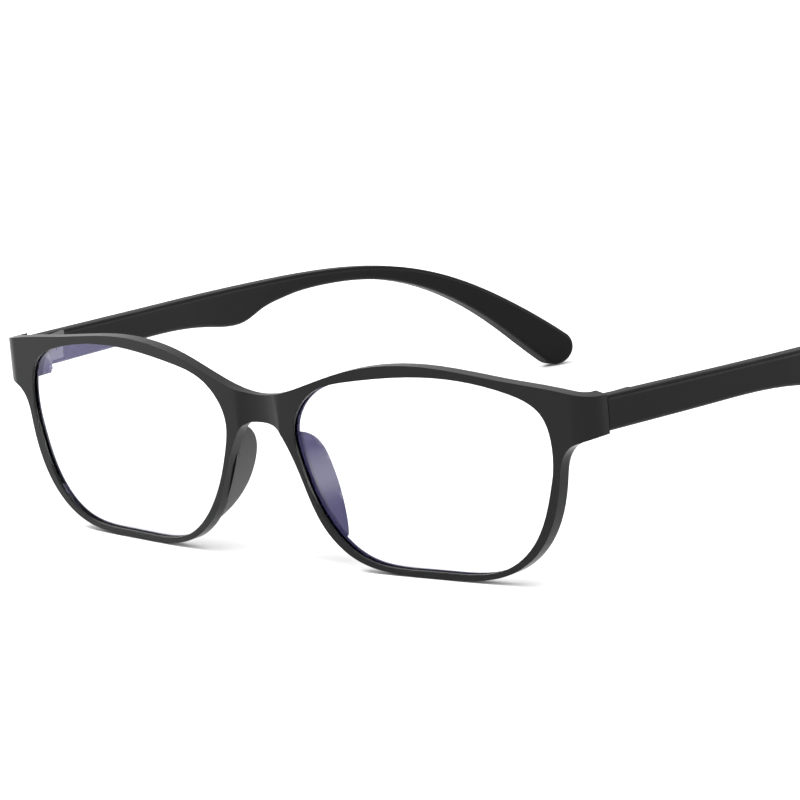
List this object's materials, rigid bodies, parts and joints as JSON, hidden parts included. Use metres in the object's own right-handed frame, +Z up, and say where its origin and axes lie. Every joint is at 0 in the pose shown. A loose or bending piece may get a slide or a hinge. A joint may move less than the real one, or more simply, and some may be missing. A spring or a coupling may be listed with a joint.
{
  "type": "blue light glasses",
  "caption": "Full-rim black plastic glasses with clear blue-filter lenses, moulded nose pads and temples that fold inward on screwed hinges.",
  "frame": {"origin": "on the surface it stands on, at the middle between the two sides and midway from the front face to the temple tips", "axes": "+X to the wearer's left, -Y the way the wearer looks, +Z up"},
  "size_m": [0.1448, 0.1436, 0.0361],
  "materials": {
    "front_plastic": "satin moulded black",
    "temple_plastic": "matte moulded black",
    "pad_plastic": "satin moulded black",
    "lens": "clear with a violet-blue reflection",
    "hinge_steel": "plain stamped steel",
    "washer_nylon": "natural nylon"
  },
  "bodies": {
    "front": {"front_frame": "front_plastic", "lens_left": "lens", "lens_right": "lens", "nose_pad_left": "pad_plastic", "nose_pad_right": "pad_plastic", "hinge_front_leaf_left": "hinge_steel", "front_leaf_screws_left": "hinge_steel", "hinge_screw_left": "hinge_steel", "hinge_front_leaf_right": "hinge_steel", "front_leaf_screws_right": "hinge_steel", "hinge_screw_right": "hinge_steel"},
    "left_temple": {"temple_left": "temple_plastic", "hinge_temple_leaf_left": "hinge_steel", "temple_leaf_screws_left": "hinge_steel", "hinge_washers_left": "washer_nylon"},
    "right_temple": {"temple_right": "temple_plastic", "hinge_temple_leaf_right": "hinge_steel", "temple_leaf_screws_right": "hinge_steel", "hinge_washers_right": "washer_nylon"}
  },
  "joints": [
    {"name": "left_temple_hinge", "type": "hinge", "parent": "front", "child": "left_temple", "pos_m": [0.06447, -0.06058, 0.0292], "axis": [0, 0, 1], "range_deg": [0, 85]},
    {"name": "right_temple_hinge", "type": "hinge", "parent": "front", "child": "right_temple", "pos_m": [-0.06447, -0.06058, 0.0292], "axis": [0, 0, -1], "range_deg": [0, 72]}
  ]
}
